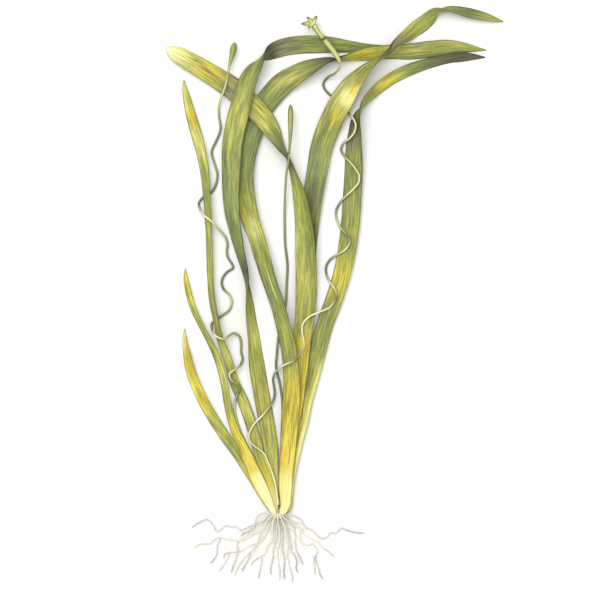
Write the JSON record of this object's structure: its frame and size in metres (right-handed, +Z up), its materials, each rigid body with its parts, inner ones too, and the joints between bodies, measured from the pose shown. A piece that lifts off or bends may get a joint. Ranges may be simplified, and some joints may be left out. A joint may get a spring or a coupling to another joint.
{
  "type": "aquatic plant",
  "caption": "Bare-rooted vallisneria laid flat: long ribbon leaves that twist and bend over, coiled flower stalks with buds and a small open flower, and a tuft of roots.",
  "frame": {"origin": "middle of the plant's outline as it lies, on the surface that it rests on", "axes": "+Y is the plant's own upward direction, from the roots to the leaf tips; +X is to the right seen from above; +Z is up from the surface"},
  "size_m": [0.2363, 0.4034, 0.0144],
  "materials": {
    "leaf_green": "soft satin leaf surface with fine lengthwise veins, olive to yellow green",
    "leaf_yellow": "soft satin leaf surface, ochre to pale yellow",
    "flower_stalk": "smooth fleshy stalk, grey green to pale yellow green",
    "bud": "smooth fleshy sheath, pale green with a darker edge",
    "flower": "matt petal, pale green with dark olive lobes",
    "crown": "fleshy, cream",
    "root": "matt, pale greyish"
  },
  "bodies": {
    "root": {"leaf_outer_left": "leaf_green", "leaf_short_yellow": "leaf_yellow", "leaf_short_low": "leaf_yellow", "leaf_tall_left": "leaf_green", "leaf_tall_middle": "leaf_green", "leaf_crossing": "leaf_green", "leaf_broad": "leaf_green", "leaf_outer_right": "leaf_green", "stalk_coiled_left": "flower_stalk", "stalk_straight": "flower_stalk", "stalk_coiled_right": "flower_stalk", "bud_left": "bud", "bud_middle": "bud", "spathe_right": "bud", "flower": "flower", "crown": "crown", "root_01": "root", "root_02": "root", "root_03": "root", "root_04": "root", "root_05": "root", "root_06": "root", "root_07": "root", "root_08": "root", "root_09": "root", "root_10": "root", "root_11": "root", "root_12": "root", "root_13": "root", "root_14": "root", "root_15": "root", "root_16": "root", "root_17": "root", "root_18": "root", "root_19": "root", "root_20": "root", "root_21": "root"}
  },
  "joints": []
}
